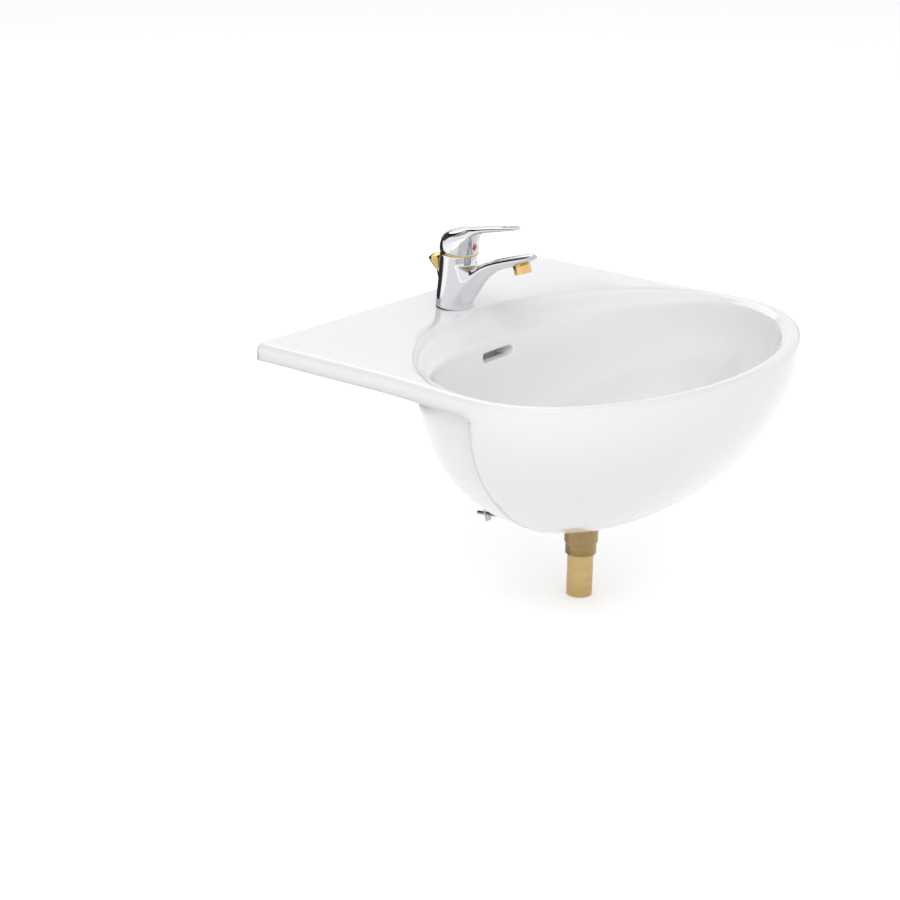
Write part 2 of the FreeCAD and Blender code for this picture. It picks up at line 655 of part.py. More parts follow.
def lever_top(edge):
    """Outline of the upper surface."""
    box = edge.BoundBox
    middle = edge.valueAt((edge.FirstParameter + edge.LastParameter) / 2)
    above = lever_block_top(middle.y)
    return abs(middle.z - above) < 0.2 and box.YLength > 0.5 and box.ZMin > 75.5


def lever_block_top(reach):
    """Level of the lever's upper surface at a reach along it."""
    probe = Part.makeLine(Vector(0, reach + 1e-4, 0), Vector(0, reach + 1e-4, 200))
    hit = probe.common(lever_slab.Shape)
    return hit.BoundBox.ZMax if hit.Edges else -1.0


hood = turned("hood", [(0, 60), (18.8, 60), (18.8, 74), (15, 80), (0, 80)])
taper = turned("taper", [(CAP + " - 3", 60), (CAP + " - 2.9", SKIRT), (CAP + " - 0.9", 73),
                         (CAP + " + 0.2", 86), (CAP + " + 8", 86), (CAP + " + 8", 60)])
post = rod("post", 9, 68, 90)
roof = cut("roof", hood, post)
lever = cut("lever", soften(
    "lever_soft", soften("lever_waisted", lever_block, 14, lever_waist), 2.2, lever_top),
            roof, taper,
            block("lever_socket", (-4.5, -4, 60), (4.5, 4, 78)),
            bar("screw_bore", 2.55, (4, 73.5), (30, 73.5)),
            bar("hot_seat", 2.6, (-20.4, 81.5), (-30, 81.5), -3.1),
            bar("cold_seat", 2.6, (-20.4, 81.5), (-30, 81.5), 3.1))
keep("lever_handle", facing(lever, 1), TAP)
for label, made in (("handle_screw", bar("grub", 2.5, (4, 73.5), (12, 73.5))),
                    ("index_hot", bar("red_dot", 2.6, (-20.4, 81.5), (-22.3, 81.5), -3.1)),
                    ("index_cold", bar("blue_dot", 2.6, (-20.4, 81.5), (-22.3, 81.5), 3.1))):
    holder = doc.addObject("Part::Compound", label + "_holder")
    holder.Links = [made]
    keep(label, facing(holder, 1), TAP)

# ---------------------------------------------------------------- mixer: aerator and fixing
shell = cut("shell", fuse("shell_mass", at_aerator(prism("shell_nut", 12, 10.9, -3.6, 6.5)),
                          at_aerator(bar("shell_neck", 8.6, (0, 5), (0, 11.3)))),
            at_aerator(bar("shell_bore", 7.25, (0, -5), (0, 12))))
keep("aerator_shell", facing(shell, 1), TAP)
insert_holes = [at_aerator(bar("jet_%d" % i, 0.9, (3.8 * math.cos(a), -7), (3.8 * math.cos(a), 6),
                               3.8 * math.sin(a)))
                for i, a in enumerate(math.radians(60 * k) for k in range(6))]
insert = cut("insert", at_aerator(bar("insert_disc", 7.2, (0, -2.8), (0, 4.5))), *insert_holes)
keep("aerator_insert", facing(insert, 1), TAP)
washer = cut("aerator_ring", at_aerator(rod("ring_disc", 8.5, 11.3, 12.5)),
             at_aerator(rod("ring_hole", 5.5, 11, 13)))
keep("aerator_washer", facing(washer, 1), TAP)

U_HALF, PLATE_R = 15.5, 25.0
U_TOP = math.sqrt(PLATE_R ** 2 - U_HALF ** 2)


def horseshoe(name, low, high):
    """Open washer that slides in round the inlets and takes the fixing stud."""
    shape = outline(doc, name + "_outline", [
        (U_HALF, U_TOP, PLATE_R, 1), (PLATE_R, 0, PLATE_R, 1), (0, -PLATE_R, PLATE_R, 1),
        (-PLATE_R, 0, PLATE_R, 1), (-U_HALF, U_TOP), (-U_HALF, -4), (U_HALF, -4)],
        Placement(Vector(0, 0, low), Rotation()))
    return cut(name + "_cut", pad(name + "_plate", shape, high - low),
               rod(name + "_hole", 4.2, low - 1, high + 1, y=STUD_Y))


UNDER = [("Placement.Base.y", "-sizes.tap_back"), ("Placement.Base.z", "sizes.recess_depth")]
keep("horseshoe_rubber", horseshoe("rubber", -3.0, 0.0), UNDER)
keep("horseshoe_plate", horseshoe("steel", -5.5, -3.0), UNDER)
keep("fixing_nut", cut("fixing_nut_cut", prism("fixing_hex", 6, 7.5, -30, -5.5, y=STUD_Y),
                       rod("fixing_thread", 4, -31, -5, y=STUD_Y)), UNDER)
stud = turned("stud", [(0, -44), (3.4, -44), (4, -43.2), (4, "sizes.deck_thick + 12.9"),
                       (0, "sizes.deck_thick + 12.9")])
keep("fixing_stud", stud, [("Placement.Base.y", "-sizes.tap_back - 11")])

# ---------------------------------------------------------------- waste, z = 0 on the bowl's floor
BASE = "-sizes.floor_thick"                      # underside of the bowl
BALL = "(%s - sizes.ball_drop)" % BASE
HOLE, RIM = "sizes.waste_hole - 0.2", "sizes.seat_radius - 1"
flange = turned("flange", [
    (16.4, -19), (18.5, -19), (18.5, -7.5), (HOLE, -7.5), (HOLE, -3.2), (RIM, -3.2),
    (RIM + " + 0.3", -1.6),
    (30, 0.3), (23, -0.4), (21, -1.2), (21, -5.5), (16.4, -5.5)])
keep("waste_flange", flange, DRAIN)
keep("flange_seal", ring("flange_ring", HOLE + " + 0.5", RIM + " - 1",
                          "-sizes.seat_depth", -3.2), DRAIN)
tube = turned("tube", [(18.55, -7.6), (20.9, -7.6), (20.9, BASE + " - 40"), (19.2, BASE + " - 42"),
                       (19.2, BASE + " - 55"), (15.65, BASE + " - 55"), (15.65, BASE + " - 44"),
                       (14.3, BASE + " - 44"), (14.3, BASE + " - 40"), (16.4, BASE + " - 38"),
                       (16.4, -20), (18.55, -20)])


def back(name, radius, start, end, level=BALL):
    """Cylinder along Y from start to end; places and level are numbers or expressions."""
    made = doc.addObject("Part::Cylinder", name)
    made.Radius = radius
    made.Placement = Placement(Vector(0, 0, 0), Rotation(Vector(1, 0, 0), -90))
    made.setExpression("Height", "(%s) - (%s)" % (end, start))
    made.setExpression("Placement.Base.y", str(start))
    made.setExpression("Placement.Base.z", str(level))
    return made


def by_ball(name, radius, start, end):
    """Cylinder along Y, its ends measured from the ball's middle."""
    return back(name, radius, "sizes.ball_reach + %g" % start, "sizes.ball_reach + %g" % end)


tube_windows = block("tube_windows", (-9, -30, -32), (9, 30, -21))
waste_body = cut("waste_body_cut", fuse("waste_body_mass", tube, cut(
    "ball_boss", by_ball("ball_housing", 10.5, -12, 9), rod("keep_clear", 17, BASE + " - 60", BASE))),
    by_ball("ball_bore", 6.05, -6.8, 10), by_ball("ball_mouth", 4.8, -17, -6), tube_windows)
keep("waste_body", waste_body, DRAIN)
keep("waste_lower_seal", ring("lower_seal", 21.2, 30, BASE + " - 4", BASE), DRAIN)
keep("waste_washer", ring("slip_washer", 21.2, 31, BASE + " - 5.5", BASE + " - 4"), DRAIN)
keep("waste_backnut", cut("backnut_cut", prism("backnut_hex", 6, 32.5, BASE + " - 14",
                                               BASE + " - 5.5"),
                          rod("backnut_thread", 20.95, BASE + " - 15", BASE + " - 5")), DRAIN)
tail = turned("tail", [(14.3, BASE + " - 110"), (16, BASE + " - 110"), (16, BASE + " - 58"),
                       (15.6, BASE + " - 57"), (15.6, BASE + " - 44"), (14.3, BASE + " - 44")])
keep("tailpiece", tail, DRAIN)
cap = cut("ball_cap_cut", by_ball("ball_cap", 13.0, 3, 12), by_ball("cap_thread", 10.55, 2, 9),
          by_ball("cap_hole", 4.9, 8, 13))
keep("ball_nut", cap, DRAIN)
keep("ball_seal", cut("ball_seal_cut", by_ball("ball_seal_disc", 6.0, 6.4, 9),
                      by_ball("ball_seal_hole", 4.2, 6, 10)), DRAIN)

# ---------------------------------------------------------------- pop-up linkage
LEVER = [("Placement.Base.y", "sizes.ball_y"), ("Placement.Base.z", "sizes.ball_level"),
         ("Placement.Rotation.Angle", "sizes.rod_drop")]
ball = doc.addObject("Part::Sphere", "ball")
ball.Radius = 6
spindle = fuse("spindle", ball, back("spindle_rod", 2.4, "-sizes.ball_reach - 4",
                                     "sizes.rod_reach + 15", 0))
keep("ball_rod", facing(spindle, -1), LEVER)

knob = prism("knob_mass", 8, 9.3, 46, 66)
knob_form = turned("knob_form", [(0, 45), (3.6, 45), (9.4, 60.2), (9.4, 61.6), (0, 66.5)])
knob_solid = cut("knob_solid", common("knob_facets", knob, knob_form), rod("knob_bore", 2.5, 40, 57))
keep("lift_knob", facing(knob_solid, -1), LIFT)
END = "82 - sizes.rod_length"                    # lower end of the lift rod
long_rod = turned("long_rod", [(0, END), (2.0, END), (2.5, END + " + 1"), (2.5, 57), (0, 57)])
keep("lift_rod", facing(long_rod, -1), LIFT)
strap_bar = block("strap_bar", (-5, "-sizes.strap_out - 1", "-sizes.rod_length - 9"),
                  (5, "1 - sizes.strap_out", END + " + 50"))
strap_holes = [back("strap_hole_%d" % i, 3.6 if i == 0 else 2.6, -8, 0,
                    "-sizes.rod_length + %d" % (12 * i)) for i in range(7)]
keep("lift_strap", facing(cut("strap_cut", strap_bar, *strap_holes), -1), LIFT)
CLAMP = END + " + 26"                            # middle of the clamp
clamp_block = cut("clamp_cut", block("clamp_block", (-7, "-sizes.strap_out - 3.4", CLAMP + " - 6"),
                                     (7, 5, CLAMP + " + 6")),
                  rod("clamp_rod_hole", 2.5, CLAMP + " - 16", CLAMP + " + 16"),
                  block("clamp_slot", (-5, "-sizes.strap_out - 1", CLAMP + " - 16"),
                        (5, "1 - sizes.strap_out", CLAMP + " + 16")),
                  back("clamp_thread", 2.0, 1, 8, CLAMP))
keep("strap_clamp", facing(clamp_block, -1), LIFT)
clamp_screw = fuse("clamp_screw_mass", back("clamp_shank", 2.0, 2.5, 8, CLAMP),
                   back("clamp_head", 5.0, 8, 12, CLAMP))
keep("clamp_screw", facing(clamp_screw, -1), LIFT)

RAISE = 7.4
stem_tab = cut("stem_tab", block("tab", (-6, -1.5, BALL + " - 6"), (6, 1.5, BALL + " + 12")),
               back("tab_eye", 3.1, -5, 5, BALL + " + 3.7"))
fins = [block("fin_%d" % i, low, high) for i, (low, high) in enumerate((
    ((-16, -0.9, RAISE - 24), (16, 0.9, RAISE - 4)), ((-0.9, -16, RAISE - 24), (0.9, 16, RAISE - 4))))]
plug_top = turned("plug_top", [(0, RAISE - 4.6), (17.4, RAISE - 4.6), (17.4, RAISE - 2.6),
                               (20.4, RAISE - 2.6), (20.4, RAISE - 0.4), (19.4, RAISE + 0.4),
                               (10, RAISE + 1.3), (0, RAISE + 1.6)])
plug = fuse("plug", plug_top, *fins, rod("plug_stem", 3.5, BALL + " + 8", RAISE - 4), stem_tab)
keep("popup_plug", plug, DRAIN)
keep("plug_seal", ring("plug_ring", 17.4, 20.6, RAISE - 4.6, RAISE - 2.6), DRAIN)

# ---------------------------------------------------------------- write the pieces
doc.recompute()
os.makedirs("parts", exist_ok=True)
for name, obj in NODES.items():
    obj.Shape.exportStep("parts/%s.step" % name)
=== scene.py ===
"""Looks of the semi recessed basin: glaze, chrome, gold plate and the small parts.

Laid out as an add-on: each piece or group of like pieces has an operator, and main() runs them in
order. Lengths are metres and +Z is up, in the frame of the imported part. The shapes of the mixer are
written in millimetres in the mixer's own frame, which leans forward on the deck.
"""

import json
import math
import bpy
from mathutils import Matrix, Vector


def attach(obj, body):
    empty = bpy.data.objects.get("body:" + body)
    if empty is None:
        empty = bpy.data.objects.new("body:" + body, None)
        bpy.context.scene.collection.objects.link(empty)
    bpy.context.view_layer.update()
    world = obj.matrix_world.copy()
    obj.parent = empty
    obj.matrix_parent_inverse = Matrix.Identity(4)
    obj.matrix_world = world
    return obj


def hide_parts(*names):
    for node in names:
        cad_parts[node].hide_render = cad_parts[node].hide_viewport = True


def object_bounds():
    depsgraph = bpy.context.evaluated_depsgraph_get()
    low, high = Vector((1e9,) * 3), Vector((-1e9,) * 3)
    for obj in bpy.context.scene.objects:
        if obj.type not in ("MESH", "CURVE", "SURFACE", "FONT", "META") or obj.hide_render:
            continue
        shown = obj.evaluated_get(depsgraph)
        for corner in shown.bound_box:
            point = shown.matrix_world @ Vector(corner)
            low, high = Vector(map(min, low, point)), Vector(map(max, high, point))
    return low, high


bl_info = {
    "name": "Semi recessed basin",
    "version": (1, 0, 0),
    "blender": (4, 5, 0),
    "location": "3D View > Sidebar > Basin",
    "description": "Dresses the basin, its single lever mixer and its pop-up waste",
    "category": "Object",
}

import bmesh
import bpy
from bpy.props import FloatProperty, FloatVectorProperty, PointerProperty
from mathutils import Matrix, Vector

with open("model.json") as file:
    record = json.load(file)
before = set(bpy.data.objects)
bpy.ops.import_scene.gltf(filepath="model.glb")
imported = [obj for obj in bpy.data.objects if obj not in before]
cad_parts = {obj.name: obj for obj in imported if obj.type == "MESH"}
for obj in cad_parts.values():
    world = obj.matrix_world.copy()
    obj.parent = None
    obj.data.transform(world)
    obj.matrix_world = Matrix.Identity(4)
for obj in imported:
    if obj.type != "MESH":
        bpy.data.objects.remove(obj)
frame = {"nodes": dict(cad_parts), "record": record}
CAD_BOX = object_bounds()
MM = 0.001
FULL_TURN = 2 * math.pi
WHITE = (1, 1, 1, 1)


# ------------------------------------------------------------------ settings
class BasinFinish(bpy.types.PropertyGroup):
    """Colours and gloss of the object's finishes"""
    glaze: FloatVectorProperty(
        name="Glaze", description="Colour of the sanitary glaze",
        subtype="COLOR", default=(0.86, 0.87, 0.875), min=0, max=1)
    glaze_roughness: FloatProperty(
        name="Glaze roughness", description="Roughness of the fired glaze",
        subtype="FACTOR", default=0.14, min=0, max=1)
    chrome: FloatVectorProperty(
        name="Chrome", description="Colour of the chrome plate",
        subtype="COLOR", default=(0.78, 0.785, 0.80), min=0, max=1)
    gold: FloatVectorProperty(
        name="Gold", description="Colour of the gold plated trim",
        subtype="COLOR", default=(0.80, 0.56, 0.22), min=0, max=1)
    brass: FloatVectorProperty(
        name="Brass", description="Colour of the bare turned brass",
        subtype="COLOR", default=(0.60, 0.43, 0.20), min=0, max=1)
    steel: FloatVectorProperty(
        name="Steel", description="Colour of the plain steel fixings",
        subtype="COLOR", default=(0.50, 0.51, 0.52), min=0, max=1)


class StudioLight(bpy.types.PropertyGroup):
    """Camera and light of the stage"""
    lens: FloatProperty(
        name="Lens", description="Focal length on a 36 mm wide sensor, in millimetres",
        unit="CAMERA", default=80.99, min=10)
    azimuth: FloatProperty(
        name="Azimuth", description="Camera's turn about the upright axis",
        subtype="ANGLE", default=math.radians(-51.503))
    elevation: FloatProperty(
        name="Elevation", description="Camera's angle above the horizon",
        subtype="ANGLE", default=math.radians(19.622))
    roll: FloatProperty(
        name="Roll", description="Camera's turn about its own line of sight",
        subtype="ANGLE", default=math.radians(0.978))
    camera_place: FloatVectorProperty(
        name="Camera place", description="Where the camera stands",
        subtype="TRANSLATION", unit="LENGTH", default=(-1.9033, -1.5551, 0.6958))
    world: FloatProperty(
        name="World", description="Strength of the light from all round", default=0.72, min=0)
    key: FloatProperty(
        name="Key", description="Power of the large soft lamp, in watts",
        unit="POWER", default=52, min=0)
    floor_glow: FloatProperty(
        name="Floor glow", description="Light that lifts the seen floor to white", default=0.3, min=0)
    floor: FloatVectorProperty(
        name="Floor", description="Colour of the floor",
        subtype="COLOR", default=(0.93, 0.93, 0.93), min=0, max=1)


def finish_of(context):
    return context.scene.basin_finish


def studio_of(context):
    return context.scene.basin_studio


# ------------------------------------------------------------------ shader tools
def reckon(tree, operation, *values):
    """Result of a math node over sockets and numbers."""
    node = tree.nodes.new("ShaderNodeMath")
    node.operation = operation
    for socket, value in zip(node.inputs, values):
        if isinstance(value, bpy.types.NodeSocket):
            tree.links.new(value, socket)
        else:
            socket.default_value = value
    return node.outputs[0]


def soft_edge(tree, value, start, end, low=0.0, high=1.0):
    """Low before the start of an edge, high after its end and a soft step between."""
    node = tree.nodes.new("ShaderNodeMapRange")
    node.interpolation_type = "SMOOTHSTEP"
    node.inputs["From Min"].default_value = start
    node.inputs["From Max"].default_value = end
    node.inputs["To Min"].default_value = low
    node.inputs["To Max"].default_value = high
    tree.links.new(value, node.inputs["Value"])
    return node.outputs["Result"]


def either_shader(tree, share, one, other):
    """One shader where the share is 0, the other where it is 1."""
    node = tree.nodes.new("ShaderNodeMixShader")
    tree.links.new(share, node.inputs["Fac"])
    tree.links.new(one, node.inputs[1])
    tree.links.new(other, node.inputs[2])
    return node.outputs[0]


def new_group(name, **values):
    """Shader node group of surface marks, with a named number for each value."""
    group = bpy.data.node_groups.new(name, "ShaderNodeTree")
    for label, value in values.items():
        socket = group.interface.new_socket(
            name=label, in_out="INPUT", socket_type="NodeSocketFloat")
        socket.default_value = value
    for label, kind in (("Normal", "NodeSocketVector"), ("Mask", "NodeSocketFloat")):
        group.interface.new_socket(name=label, in_out="OUTPUT", socket_type=kind)
    return group, group.nodes.new("NodeGroupInput").outputs


def close_group(group, mask, height):
    """Put out a mask over the surface, and the normal of a relief that rises with it."""
    outputs = group.nodes.new("NodeGroupOutput").inputs
    bump = group.nodes.new("ShaderNodeBump")
    group.links.new(mask, bump.inputs["Height"])
    group.links.new(height, bump.inputs["Distance"])
    group.links.new(bump.outputs["Normal"], outputs["Normal"])
    group.links.new(mask, outputs["Mask"])
    return group


def relief_group(name):
    """Fine, uneven surface: orange peel on glaze, grain on rubber and plastic."""
    group, inputs = new_group(name, Scale=200.0, Height=0.0001, Detail=2.0)
    place = group.nodes.new("ShaderNodeTexCoord")
    noise = group.nodes.new("ShaderNodeTexNoise")
    group.links.new(place.outputs["Object"], noise.inputs["Vector"])
    group.links.new(inputs["Scale"], noise.inputs["Scale"])
    group.links.new(inputs["Detail"], noise.inputs["Detail"])
    return close_group(group, noise.outputs["Fac"], inputs["Height"])


def lathe_group(name):
    """Turning marks: noise that is drawn out into fine rings across an upright axis."""
    group, inputs = new_group(name, Pitch=0.0006, Height=0.00001)
    place = group.nodes.new("ShaderNodeTexCoord")
    stretch = group.nodes.new("ShaderNodeMapping")
    stretch.inputs["Scale"].default_value = (0.02, 0.02, 1.0)
    noise = group.nodes.new("ShaderNodeTexNoise")
    noise.inputs["Detail"].default_value = 3.0
    group.links.new(place.outputs["Object"], stretch.inputs["Vector"])
    group.links.new(stretch.outputs["Vector"], noise.inputs["Vector"])
    group.links.new(reckon(group, "DIVIDE", 1.0, inputs["Pitch"]), noise.inputs["Scale"])
    return close_group(group, noise.outputs["Fac"], inputs["Height"])


def thread_group(name):
    """Screw thread: even rings up an upright axis, one to each pitch."""
    group, inputs = new_group(name, Pitch=0.0015, Height=0.0005)
    place = group.nodes.new("ShaderNodeTexCoord")
    split = group.nodes.new("ShaderNodeSeparateXYZ")
    group.links.new(place.outputs["Object"], split.inputs[0])
    turns = reckon(group, "DIVIDE", split.outputs["Z"], inputs["Pitch"])
    flanks = reckon(group, "PINGPONG", turns, 0.5)
    return close_group(group, flanks, inputs["Height"])


MARKS = {"fine_relief": relief_group, "lathe_marks": lathe_group, "thread_rings": thread_group}
# Part of a mask's range over which the roughness varies
MASK_LOW = 0.3
MASK_HIGH = 0.7


class Finish:
    """One material under construction, with its shader and small helpers."""

    def __init__(self, name, colour, roughness, metallic=0.0):
        self.material = bpy.data.materials.new(name)
        self.material.use_nodes = True
        self.material.diffuse_color = (*colour, 1)
        self.tree = self.material.node_tree
        self.nodes = self.tree.nodes
        self.link = self.tree.links.new
        self.shader = self.nodes["Principled BSDF"]
        self.shader.inputs["Base Color"].default_value = (*colour, 1)
        self.shader.inputs["Roughness"].default_value = roughness
        self.shader.inputs["Metallic"].default_value = metallic

    def marks(self, name, **values):
        """Place shared surface marks, give the shader their normal and return their mask."""
        node = self.nodes.new("ShaderNodeGroup")
        node.node_tree = bpy.data.node_groups.get(name) or MARKS[name](name)
        for label, value in values.items():
            node.inputs[label].default_value = value
        self.link(node.outputs["Normal"], self.shader.inputs["Normal"])
        return node.outputs["Mask"]

    def roughen(self, mask, low, high):
        """Vary the roughness between low and high over a mask."""
        ramp = self.nodes.new("ShaderNodeMapRange")
        ramp.inputs["From Min"].default_value = MASK_LOW
        ramp.inputs["From Max"].default_value = MASK_HIGH
        ramp.inputs["To Min"].default_value = low
        ramp.inputs["To Max"].default_value = high
        self.link(mask, ramp.inputs["Value"])
        self.link(ramp.outputs["Result"], self.shader.inputs["Roughness"])

    def blotch(self, mask, one, other):
        """Mix two colours over a mask."""
        mix = self.nodes.new("ShaderNodeMix")
        mix.data_type = "RGBA"
        mix.inputs["A"].default_value = (*one, 1)
        mix.inputs["B"].default_value = (*other, 1)
        self.link(mask, mix.inputs["Factor"])
        self.link(mix.outputs["Result"], self.shader.inputs["Base Color"])


def shade(colour, factor):
    """Colour times a factor, no lighter than white."""
    return tuple(min(1.0, part * factor) for part in colour)


# ------------------------------------------------------------------ finishes
def glazed_ceramic(finish):
    """White glaze with a slight orange peel and a faint change of tone over it."""
    glaze = tuple(finish.glaze)
    made = Finish("glazed ceramic", glaze, finish.glaze_roughness)
    made.shader.inputs["Coat Weight"].default_value = 0.5
    made.shader.inputs["Coat Roughness"].default_value = 0.08
    made.shader.inputs["IOR"].default_value = 1.52
    peel = made.marks("fine_relief", Scale=90.0, Height=0.00003, Detail=1.0)
    made.roughen(peel, finish.glaze_roughness * 0.8, finish.glaze_roughness * 1.4)
    made.blotch(peel, glaze, shade(glaze, 0.985))
    return made.material


def chrome_plate(finish):
    """Polished chrome with a faint haze."""
    made = Finish("chrome plate", tuple(finish.chrome), 0.05, 1.0)
    haze = made.marks("fine_relief", Scale=60.0, Height=0.000004, Detail=3.0)
    made.roughen(haze, 0.035, 0.075)
    return made.material


def gold_plate(finish):
    """Polished gold plate, a little softer than the chrome."""
    made = Finish("gold plate", tuple(finish.gold), 0.1, 1.0)
    haze = made.marks("fine_relief", Scale=120.0, Height=0.000004, Detail=3.0)
    made.roughen(haze, 0.07, 0.13)
    return made.material


def turned_brass(finish):
    """Bare brass with turning marks."""
    brass = tuple(finish.brass)
    made = Finish("turned brass", brass, 0.3, 1.0)
    rings = made.marks("lathe_marks", Pitch=0.0008, Height=0.00002)
    made.roughen(rings, 0.24, 0.42)
    made.blotch(rings, brass, shade(brass, 0.82))
    return made.material


def plain_steel(finish):
    """Steel with finer turning marks than the brass."""
    steel = tuple(finish.steel)
    made = Finish("plain steel", steel, 0.32, 1.0)
    rings = made.marks("lathe_marks", Pitch=0.0005, Height=0.00001)
    made.roughen(rings, 0.25, 0.42)
    made.blotch(rings, steel, shade(steel, 0.9))
    return made.material


def threaded_metal(name, colour, pitch):
    """Metal with a screw thread, with painted shade that darkens its grooves."""
    made = Finish(name, colour, 0.34, 1.0)
    flanks = made.marks("thread_rings", Pitch=pitch, Height=pitch * 0.8)
    made.roughen(flanks, 0.28, 0.42)
    # Painted shade: the colour is darker in the grooves of the thread, where the mask is low
    made.blotch(flanks, shade(colour, 0.7), colour)
    return made.material


def black_rubber():
    """Matt rubber of the gaskets and seals."""
    made = Finish("black rubber", (0.035, 0.035, 0.037), 0.7)
    grain = made.marks("fine_relief", Scale=1500.0, Height=0.00003, Detail=2.0)
    made.roughen(grain, 0.6, 0.85)
    made.blotch(grain, (0.03, 0.03, 0.032), (0.05, 0.05, 0.052))
    return made.material


def white_plastic():
    """White moulded plastic with a fine grain."""
    white = (0.80, 0.80, 0.78)
    made = Finish("white plastic", white, 0.42)
    grain = made.marks("fine_relief", Scale=900.0, Height=0.00002, Detail=2.0)
    made.roughen(grain, 0.36, 0.5)
    made.blotch(grain, white, (0.76, 0.76, 0.73))
    return made.material


def grey_plastic():
    """Grey moulded plastic with a fine grain."""
    grey = (0.28, 0.29, 0.31)
    made = Finish("grey plastic", grey, 0.45)
    grain = made.marks("fine_relief", Scale=900.0, Height=0.00002, Detail=2.0)
    made.roughen(grain, 0.38, 0.55)
    made.blotch(grain, grey, (0.24, 0.25, 0.27))
    return made.material


def index_enamel(name, colour):
    """Glossy enamel of one part of the index button."""
    made = Finish(name, colour, 0.2)
    made.shader.inputs["Coat Weight"].default_value = 1.0
    flow = made.marks("fine_relief", Scale=700.0, Height=0.00001, Detail=1.0)
    made.blotch(flow, colour, shade(colour, 0.85))
    return made.material


def slot_materials(finish):
    """Material of each of the record's slots, and of the two threaded nodes."""
    return {
        "ceramic_white": glazed_ceramic(finish),
        "chrome": chrome_plate(finish),
        "gold": gold_plate(finish),
        "brass_raw": turned_brass(finish),
        "steel": plain_steel(finish),
        "rubber_black": black_rubber(),
        "plastic_white": white_plastic(),
        "plastic_grey": grey_plastic(),
        "index_red": index_enamel("red enamel", (0.62, 0.03, 0.02)),
        "index_blue": index_enamel("blue enamel", (0.03, 0.10, 0.55)),
        "waste_body": threaded_metal("threaded brass", tuple(finish.brass), 0.0015),
        "fixing_stud": threaded_metal("threaded steel", tuple(finish.steel), 0.00125),
    }


SLOTS = {part["node"]: part["material_slot"] for part in frame["record"]["subparts"]}
BODIES = {node: body for body, nodes in frame["record"]["behaviour"]["bodies"].items()
          for node in nodes}
MATERIALS = {}


def finish_for(node):
    """A node's own material, or else that of its slot."""
    return MATERIALS.get(node) or MATERIALS[SLOTS[node]]


# ------------------------------------------------------------------ mesh tools
# Smallest angle, in degrees, at which an edge stays sharp; less on nodes with many flat facets
SHARP_ANGLE = 30.0
FACETED = {"aerator_shell": 12.0, "lift_knob": 12.0}
# Corners this close together are one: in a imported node, in metres, and in a turned profile, in
# millimetres. Corners this close to a cut, in millimetres, lie on it.
NODE_GAP = 2e-6
PROFILE_GAP = 1e-4
CUT_GAP = 1e-5


def mesh_object(name, mesh, node, replaced=()):
    """Make an object of a finished mesh: it rides with a node's body and takes its finish."""
    made = bpy.data.objects.new(name, mesh)
    bpy.context.scene.collection.objects.link(made)
    made.data.materials.clear()
    made.data.materials.append(finish_for(node))
    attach(made, BODIES[node])
    if replaced:
        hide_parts(*replaced)
    return made


def smooth_piece(node):
    """Stand a joined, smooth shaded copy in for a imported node."""
    work = bmesh.new()
    work.from_mesh(frame["nodes"][node].data)
    bmesh.ops.remove_doubles(work, verts=work.verts, dist=NODE_GAP)
    mesh = bpy.data.meshes.new(node + "_skin")
    work.to_mesh(mesh)
    work.free()
    mesh.shade_smooth()
    mesh.set_sharp_from_angle(angle=math.radians(FACETED.get(node, SHARP_ANGLE)))
    return mesh_object(node + "_skin", mesh, node, [node])


# The mixer's frame: its foot stands on the deck, and its axis leans forward
FOOT_REACH = -44
DECK_LEVEL = 19.5
LEAN = math.radians(5.3)
MIXER = Matrix.Translation((0, FOOT_REACH * MM, DECK_LEVEL * MM)) @ Matrix.Rotation(LEAN, 4, "X")
# Corners in each ring of a cage, and the number of the one in front
COLUMNS = 24
FRONT = 3 * COLUMNS // 4
SMOOTH_LEVELS = 3
SPIN_STEPS = 72


def of_kind(geometry, kind):
    return [item for item in geometry if isinstance(item, kind)]


def ring_stack(work, rows, shape):
    """Closed rings drawn on from one another; shape(turn, row) places each corner."""
    column = work.verts.layers.int.new("column")
    level = work.verts.layers.int.new("row")
    ring = bmesh.ops.create_circle(work, segments=COLUMNS, radius=1)["verts"]
    edges = list(work.edges)
    for corner in ring:
        turn = math.atan2(corner.co.y, corner.co.x) / FULL_TURN
        corner[column] = round(turn * COLUMNS) % COLUMNS
    for index, row in enumerate(rows):
        if index:
            drawn = bmesh.ops.extrude_edge_only(work, edges=edges)["geom"]
            ring = of_kind(drawn, bmesh.types.BMVert)
            edges = [edge for edge in of_kind(drawn, bmesh.types.BMEdge)
                     if all(corner in ring for corner in edge.verts)]
        for corner in ring:
            corner[level] = index
            corner.co = shape(FULL_TURN * corner[column] / COLUMNS, row)
    middle = sum((corner.co for corner in ring), Vector()) / len(ring)
    bmesh.ops.pointmerge(work, verts=ring, merge_co=middle)


def draw_out(work, patch, sections, place):
    """Draw a patch of the front out through sections; place(across, up, section) puts each corner.

    A patch is how many columns it takes to either side of the front, its lowest and its highest row.
    """
    wide, low, high = patch
    column = work.verts.layers.int["column"]
    level = work.verts.layers.int["row"]
    faces = [face for face in work.faces
             if all(abs(corner[column] - FRONT) <= wide and low <= corner[level] <= high
                    for corner in face.verts)]
    for section in sections:
        drawn = bmesh.ops.extrude_face_region(work, geom=faces)["geom"]
        inside = [face for face in faces if face.is_valid]
        bmesh.ops.delete(work, geom=inside, context="FACES")
        faces = of_kind(drawn, bmesh.types.BMFace)
        for corner in {corner for face in faces for corner in face.verts}:
            across = (corner[column] - FRONT) / wide
            up = 2 * (corner[level] - low) / (high - low) - 1
            corner.co = place(across, up, section)


